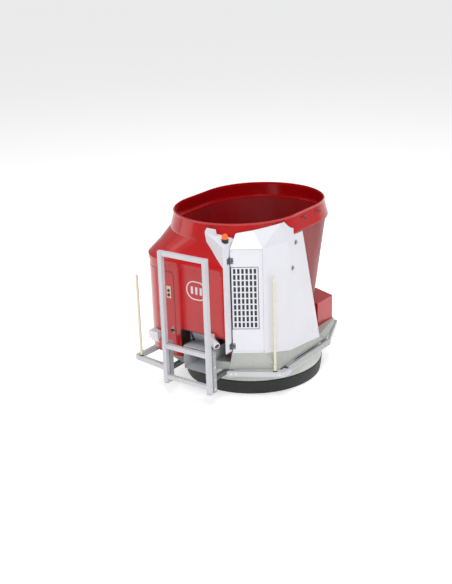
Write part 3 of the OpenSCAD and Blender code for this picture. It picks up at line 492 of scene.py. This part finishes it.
gx0, gx1, gz0, gz1 = 14.5, 343.5, 1055, 1865
bm = bmesh.new()
for low, high in (
    ((gx0 - 5, -2.6, gz0 - 5), (gx0 + 2, -0.9, gz1 + 5)),
    ((gx1 - 2, -2.6, gz0 - 5), (gx1 + 5, -0.9, gz1 + 5)),
    ((gx0 + 2, -2.6, gz0 - 5), (gx1 - 2, -0.9, gz0 + 2)),
    ((gx0 + 2, -2.6, gz1 - 2), (gx1 - 2, -0.9, gz1 + 5)),
):
    door_block(bm, low, high)
piece("grille_gasket", bm, "rubber_black", "door", 0.0005, False)
bm = bmesh.new()
door_block(bm, (gx0 + 2, 5, gz0 + 4), (gx1 - 2, 9, gz1 - 4))
for i in range(1, 6):
    x = gx0 + (gx1 - gx0) * i / 6
    door_block(bm, (x - 2, 2.8, gz0 + 6), (x + 2, 5.2, gz1 - 6))
piece("grille_filter", bm, "plastic_black", "door", 0.0004, False)
bm = bmesh.new()
for z in (775, 910, 1035, 1890, 2070):
    for x in (24, 376):
        dome_screw(bm, on_door(x, -1, z), out, 0.0055)
for x in (130, 270):
    dome_screw(bm, on_door(x, -1, 775), out, 0.0055)
    dome_screw(bm, on_door(x, -1, 2070), out, 0.0055)
for i in range(3):
    for x in (gx0 + 6, gx1 - 6):
        dome_screw(bm, on_door(x, -1, gz0 + 60 + 345 * i), out, 0.004)
piece("door_screws", bm, "bolt_zinc", "door")
bm = bmesh.new()
block(bm, at(472.5, -1158, 756), at(484, -1146, 1948))
tube(bm, [at(475, -1160, 756), at(475, -1160, 1948)], 0.004, 10)
piece("hinge_seal", bm, "rubber_black", "base")
bm = bmesh.new()
for z in HINGE_HEIGHTS:
    for k in (-1, 0, 1):
        turned(bm, at(*PIN, z + 30 * k - 14), Z, [
            (0.0072, 0), (0.0084, 0.001), (0.0084, 0.027), (0.0072, 0.028)], 20)
    turned(bm, at(*PIN, z + 45), Z, [(0.0078, 0), (0.006, 0.004), (0.003, 0.0055)], 20)
piece("hinge_knuckles", bm, "dark_steel", "base")

bm = bmesh.new()
for z in HINGE_HEIGHTS:
    door_block(bm, (11, -4.2, z - 38), (44, -0.9, z + 38))
piece("door_leaves", bm, "dark_steel", "door", 0.0012, False)
bm = bmesh.new()
for z in HINGE_HEIGHTS:
    for d in (-24, 24):
        dome_screw(bm, on_door(32, -4.2, z + d), out, 0.005)
piece("leaf_screws", bm, "bolt_zinc", "door")
bm = bmesh.new()
for z in HINGE_HEIGHTS:
    block(bm, at(471.9, -1216, z - 38), at(474.6, -1180, z + 38))
piece("fixed_leaves", bm, "dark_steel", "base", 0.0012, False)
bm = bmesh.new()
door_block(bm, (7, -1, 726), (396, 2.5, 749.5))
door_block(bm, (7, 2.5, 742), (396, 14, 745))
piece("door_threshold", bm, "white_panel", "base", 0.0008, False)

# Screws along the fixed covers.
hood = surface("right_hood")
rays = [(at(1500, y, z), -X) for y in (-470, -300, -130, 30, 140) for z in (700, 2060)]
rays += [(at(1500, y, z), -X) for y in (-900, 130) for z in (1000, 1330, 1660)]
bm = bmesh.new()
for hit, normal in spots(hood, rays):
    dome_screw(bm, hit, normal, 0.0065)
piece("hood_screws", bm, "bolt_zinc", "base")
bm = bmesh.new()
nose = surface("nose_skin")
for hit, normal in spots(nose, [(at(x, -1800, z), Y) for x in (-200, 20, 240, 440) for z in (985, 1775)]
                         + [(at(440, -1800, z), Y) for z in (1180, 1380, 1580)]
                         + [(at(-1500, -450, z), X) for z in (640, 920, 1200, 1480, 1750)]):
    dome_screw(bm, hit, normal, 0.0065)
piece("nose_screws", bm, "red_gloss", "base")
bm = bmesh.new()
rays = [(at(-1500, y, z), X) for y in (-390, -120, 150) for z in (640, 1000, 1400, 1800, 2080)]
for hit, normal in spots(surface("left_cover"), rays):
    dome_screw(bm, hit, normal, 0.0065)
rays = [(at(x, 1500, z), -Y) for x in (-360, -120, 120, 360) for z in (600, 860)]
for hit, normal in spots(surface("rear_housing"), rays):
    dome_screw(bm, hit, normal, 0.0065)
for hit, normal in spots(surface("deck"), [(at(1500, y, 520), -X) for y in (150, 350)]
                         + [(at(-1500, y, 520), X) for y in (-900, -700, -400, -100, 200, 350)]):
    dome_screw(bm, hit, normal, 0.0065)
for hit, normal in spots(surface("hood_sill"), [(at(1500, y, 520), -X) for y in (-600, -300, 0, 200)]
                         + [(at(x, -1600, 540), Y) for x in (480, 620, 760)]):
    dome_screw(bm, hit, normal, 0.0065)
for hit, normal in spots(surface("corner_strip"), [(at(455, -1800, z), Y) for z in (1880, 2000, 2110)]
                         + [(at(x, -1800, 2290), Y) for x in (150, 235)]):
    dome_screw(bm, hit, normal, 0.0065)
piece("cover_screws", bm, "bolt_zinc", "base")

# Rings round the hood latches and the hatch latch.
bm = bmesh.new()
for x, y, z in ((913, -330, 2030), (925, -430, 1720)):
    hollow(bm, at(x, y, z), X, [
        (0.0205, -0.002), (0.0205, 0.002), (0.0235, 0.0035), (0.0265, 0.002), (0.0265, -0.002)], 36)
piece("latch_rings", bm, "dark_steel", "base")
bm = bmesh.new()
latch = at(HATCH_LATCH[0], NOSE_Y, HATCH_LATCH[1])
hollow(bm, latch, -Y, [(0.027, -0.001), (0.027, 0.003), (0.031, 0.003), (0.033, -0.001)], 36)
for dz in (-0.045, 0.045):
    dome_screw(bm, latch + Z * dz, -Y, 0.0045)
piece("hatch_latch_ring", bm, "bolt_zinc", "hatch")

# Control plate: bezels and screws.
bm = bmesh.new()
for z in (1385, 1445):
    hollow(bm, at(BUTTON_X, NOSE_Y - 4, z), -Y, [
        (0.0152, 0.0), (0.0152, 0.005), (0.0175, 0.006), (0.0205, 0.004), (0.0215, 0.0)], 36)
piece("button_bezels", bm, "plastic_black", "hatch")
bm = bmesh.new()
for x in (-428, -376):
    for z in (1353, 1497):
        dome_screw(bm, at(x, -1296, z), -Y, 0.004)
piece("plate_screws", bm, "bolt_zinc", "hatch")

# Left sensor: raised plate and screws. Right sensor: sleeve and screws.
bm = bmesh.new()
block(bm, at(-712, -1351.6, 772), at(-598, -1348, 824))
piece("sensor_window", bm, "plastic_white", "hatch", 0.0012, False)
bm = bmesh.new()
for x in (-722, -588):
    for z in (757, 833):
        dome_screw(bm, at(x, -1350, z), -Y, 0.004)
piece("sensor_left_screws", bm, "bolt_zinc", "hatch")
bm = bmesh.new()
a = math.radians(108)
b = math.radians(-20)
hollow(bm, at(250, -1326, 930), Vector((math.sin(a) * math.cos(b), math.sin(a) * math.sin(b), math.cos(a))), [
    (0.034, 0.030), (0.034, 0.168), (0.040, 0.171), (0.046, 0.164), (0.046, 0.040), (0.041, 0.030)], 44)
piece("sensor_sleeve", bm, "plastic_white", "base")
bm = bmesh.new()
for x in (191, 289):
    for z in (891, 979):
        dome_screw(bm, at(x, -1346, z), -Y, 0.0045)
piece("sensor_right_screws", bm, "bolt_zinc", "base")

# Rubber edging round the chute opening.
bm = bmesh.new()
edging = [(-235, 575), (-235, 935), (-230, 946), (-220, 951), (464, 951)]
tube(bm, [at(x, NOSE_Y + 2, z) for x, z in edging], 0.0055, 10)
piece("chute_edging", bm, "rubber_black", "base")

# Rubber seal round the hatch opening.
bm = bmesh.new()
seal = [at(-315, -1291.5, 578), at(-315, -1291.5, 1640)]
for i in range(1, 6):
    a = math.radians(90 * i / 6)
    seal.append(at(-375 + 60 * math.cos(a), -1291.5, 1642 + 60 * math.sin(a)))
seal += [at(-380, -1291.5, 1702), at(-449, -1291.5, 1702)]
for i in range(1, 16):
    a = math.radians(270 - 90 * i / 15)
    seal.append(at(-450 + 522.5 * math.cos(a), -769 + 522.5 * math.sin(a), 1702))
seal += [at(-972.5, -504, 1702)]
tube(bm, seal, 0.0038, 8)
piece("hatch_seal", bm, "rubber_black", "base")


# The tub's inner welds, and a black tube under the collar's lower edge that paints the shadow line there.
def tub_inner(z):
    return 650 + 222 * (z - TUB_FLOOR_Z) / (COLLAR_Z - TUB_FLOOR_Z) - 8


def oval_path(radius, z, steps=36):
    path = []
    for start, cy in ((0, TUB_STRAIGHT), (180, -TUB_STRAIGHT)):
        for i in range(steps + 1):
            a = math.radians(start + 180 * i / steps)
            path.append(at(radius * math.cos(a), cy + radius * math.sin(a), z))
    return path


bm = bmesh.new()
tube(bm, oval_path(tub_inner(1480) - 0.5, 1480), 0.0032, 6, True)
tube(bm, oval_path(tub_inner(1000) - 0.5, 1000), 0.0032, 6, True)
tube(bm, oval_path(tub_inner(512) - 3, 512), 0.006, 6, True)
for side in (-1, 1):
    for y in (-TUB_STRAIGHT, TUB_STRAIGHT):
        tube(bm, [at(side * (tub_inner(z) - 0.5), y, z) for z in (515, 900, 1300, 1700, 2138)], 0.0032, 6)
tube(bm, [at(0, TUB_STRAIGHT + tub_inner(z) - 0.5, z) for z in (515, 900, 1300, 1700, 2138)], 0.0032, 6)
welds = piece("tub_welds", bm, "red_gloss", "base")
welds.data.materials[0] = TUB_RED_SHADED

# Painted shade: a black tube under the collar's overhanging lower edge stands in for the shadow line it
# casts.
bm = bmesh.new()
tube(bm, oval_path(897, 2137), 0.0036, 8, True)
piece("collar_shadow_tube", bm, "rubber_black", "base")

# Lifting lugs on the collar.
bm = bmesh.new()
for y in (-60, 300):
    for side in (-1, 1):
        bend = [
            (868, -34, 2268), (880, -34, 2280), (886, -26, 2300),
            (886, 26, 2300), (880, 34, 2280), (868, 34, 2268)]
        tube(bm, [at(side * x, y + dy, z) for x, dy, z in bend], 0.006, 10)
piece("lifting_hooks", bm, "dark_steel", "base")

# Auger: bolts through the knives, and bolts round the foot of the core.
bm = bmesh.new()
for step in (4, 16, 28, 39):
    k = (step + 0.5) / FLIGHT_STEPS
    a = math.radians(360 * FLIGHT_TURNS * k)
    r = 560 - 320 * k
    z = FLIGHT_FOOT + FLIGHT_RISE * k + 10 + 1.9 + 8.2
    lean = math.atan2(FLIGHT_RISE / FLIGHT_TURNS, 2 * math.pi * r)
    tangent = Vector((-math.sin(a), math.cos(a), 0))
    axis = Z * math.cos(lean) - tangent * math.sin(lean)
    for d in (14, 46):
        hex_bolt(bm, at((r - 70 + d) * math.cos(a), (r - 70 + d) * math.sin(a), z), axis, 0.008, a)
piece("knife_bolts", bm, "bolt_zinc", "auger")
bm = bmesh.new()
for i in range(8):
    a = math.radians(45 * i + 10)
    hex_bolt(bm, at(116 * math.cos(a), 116 * math.sin(a), 524), Z, 0.009, a)
piece("core_bolts", bm, "bolt_zinc", "auger")

# Skirt: lap joints of the turning ring, and their rivets.
bm = bmesh.new()
for lap in LAP_ANGLES:
    a = math.radians(lap)
    radial = Vector((math.cos(a), math.sin(a), 0))
    side = Vector((-math.sin(a), math.cos(a), 0))
    centre = at(0, 0, 0)
    low = centre + radial * SKIRT_LOW[0] + Z * SKIRT_LOW[1]
    high = centre + radial * SKIRT_HIGH[0] + Z * SKIRT_HIGH[1]
    lift = ((high - low).cross(side)).normalized() * -1
    if lift.dot(radial) < 0:
        lift = -lift
    ring = []
    for base, w in ((low, 0.03), (high, 0.03)):
        for sgn in (-1, 1):
            ring.append(base + side * sgn * w)
    q = [bm.verts.new(v) for v in (ring[0], ring[1], ring[3], ring[2])]
    t = [bm.verts.new(v.co + lift * 0.003) for v in q]
    bm.faces.new(q)
    bm.faces.new(list(reversed(t)))
    for j in range(4):
        bm.faces.new((q[j], q[(j + 1) % 4], t[(j + 1) % 4], t[j]))
piece("skirt_laps", bm, "skirt_sheet", "skirt", 0.001, False)
bm = bmesh.new()
for lap in LAP_ANGLES:
    a = math.radians(lap)
    radial = Vector((math.cos(a), math.sin(a), 0))
    side = Vector((-math.sin(a), math.cos(a), 0))
    for h in (0.25, 0.34):
        r = SKIRT_LOW[0] - SKIRT_LEAN * (h - SKIRT_LOW[1]) / SKIRT_TALL + 0.0025
        for sgn in (-1, 1):
            spot = at(0, 0, 0) + radial * r + side * 0.018 * sgn + Z * h
            dome_screw(bm, spot, (radial + Z * 0.18).normalized(), 0.006)
piece("lap_rivets", bm, "bolt_zinc", "skirt")

# Beacon: foot ring, and the ribs of the lens.
bm = bmesh.new()
hollow(bm, at(*BEACON, 2210), Z, [
    (0.0415, 0.0), (0.0415, 0.010), (0.0435, 0.010), (0.045, 0.008), (0.045, 0.0)], 40)
piece("beacon_ring", bm, "plastic_black", "base")
bm = bmesh.new()
for z in (2228, 2238, 2248, 2258):
    hollow(bm, at(*BEACON, z), Z, [(0.0375, 0.0), (0.0375, 0.004), (0.0388, 0.003), (0.0388, 0.001)], 40)
piece("beacon_ribs", bm, "lens_orange", "base")


# ---------------------------------------------------------------- stage
def aim(eye, target, roll):
    forward = (target - eye).normalized()
    right = forward.cross(Vector((0, 0, 1))).normalized()
    up = right.cross(forward)
    r2 = right * math.cos(roll) + up * math.sin(roll)
    u2 = up * math.cos(roll) - right * math.sin(roll)
    m = Matrix((r2, u2, -forward)).transposed().to_4x4()
    m.translation = eye
    return m


# The camera's place is given in radii of the skirt ring; R is that radius in metres.
R = 0.95
VIEW_DISTANCE = 14.652
VIEW_ROLL = math.radians(-1.86)
IMAGE_HEIGHT = 584.0
FOCAL_PIXELS = 1000.0
SENSOR_HEIGHT = 36.0
az = math.radians(36.0)
el = math.radians(20.062)
target = Vector((-0.461 * R, DRUM_Y, 1.061 * R))
direction = Vector((math.sin(az) * math.cos(el), -math.cos(az) * math.cos(el), math.sin(el)))
cam_data = bpy.data.cameras.new("camera")
cam = bpy.data.objects.new("camera", cam_data)
scene.collection.objects.link(cam)
cam.matrix_world = aim(target + direction * VIEW_DISTANCE * R, target, VIEW_ROLL)
cam_data.sensor_fit = "VERTICAL"
cam_data.sensor_height = SENSOR_HEIGHT
cam_data.lens = FOCAL_PIXELS / IMAGE_HEIGHT * SENSOR_HEIGHT
cam_data.clip_end = 200
scene.camera = cam


def area(name, pos, look, size, power, color=(1, 1, 1)):
    d = bpy.data.lights.new(name, "AREA")
    d.shape = "RECTANGLE"
    d.size, d.size_y = size
    d.energy = power
    d.color = color
    o = bpy.data.objects.new(name, d)
    scene.collection.objects.link(o)
    o.matrix_world = aim(Vector(pos), Vector(look), 0)


area("key", (3.5, -5.0, 8.0), (0, 0, 1.0), (3.5, 3.5), 330)
area("fill", (-7.0, -4.0, 4.0), (0, 0, 1.0), (4, 6), 70)
area("side", (7.5, -1.0, 3.5), (0, 0, 1.2), (4, 5), 22)
area("back", (1.0, 7.0, 5.0), (0, 0, 1.4), (6, 4), 80)
area("top", (0, 0.4, 14.0), (0, 0.2, 0), (24, 24), 1250)

world = bpy.data.worlds.new("world")
world.use_nodes = True
world.node_tree.nodes["Background"].inputs[0].default_value = (0.95, 0.95, 0.96, 1)
world.node_tree.nodes["Background"].inputs[1].default_value = 0.36
scene.world = world
scene.view_settings.view_transform = "Standard"

bm = bmesh.new()
bmesh.ops.create_grid(bm, x_segments=1, y_segments=1, size=150)
mesh = bpy.data.meshes.new("floor")
bm.to_mesh(mesh)
bm.free()
floor = bpy.data.objects.new("floor", mesh)
scene.collection.objects.link(floor)
fmat, ftree, fshader = new_material("floor_paper")
paper = mix(ftree, noise(ftree, 0.6, 3), (0.93, 0.93, 0.93, 1), (0.96, 0.96, 0.96, 1))
ftree.links.new(paper, fshader.inputs["Base Color"])
fshader.inputs["Roughness"].default_value = 0.6
fshader.inputs["Emission Color"].default_value = (1, 1, 1, 1)
fshader.inputs["Emission Strength"].default_value = 0.5
mesh.materials.append(fmat)
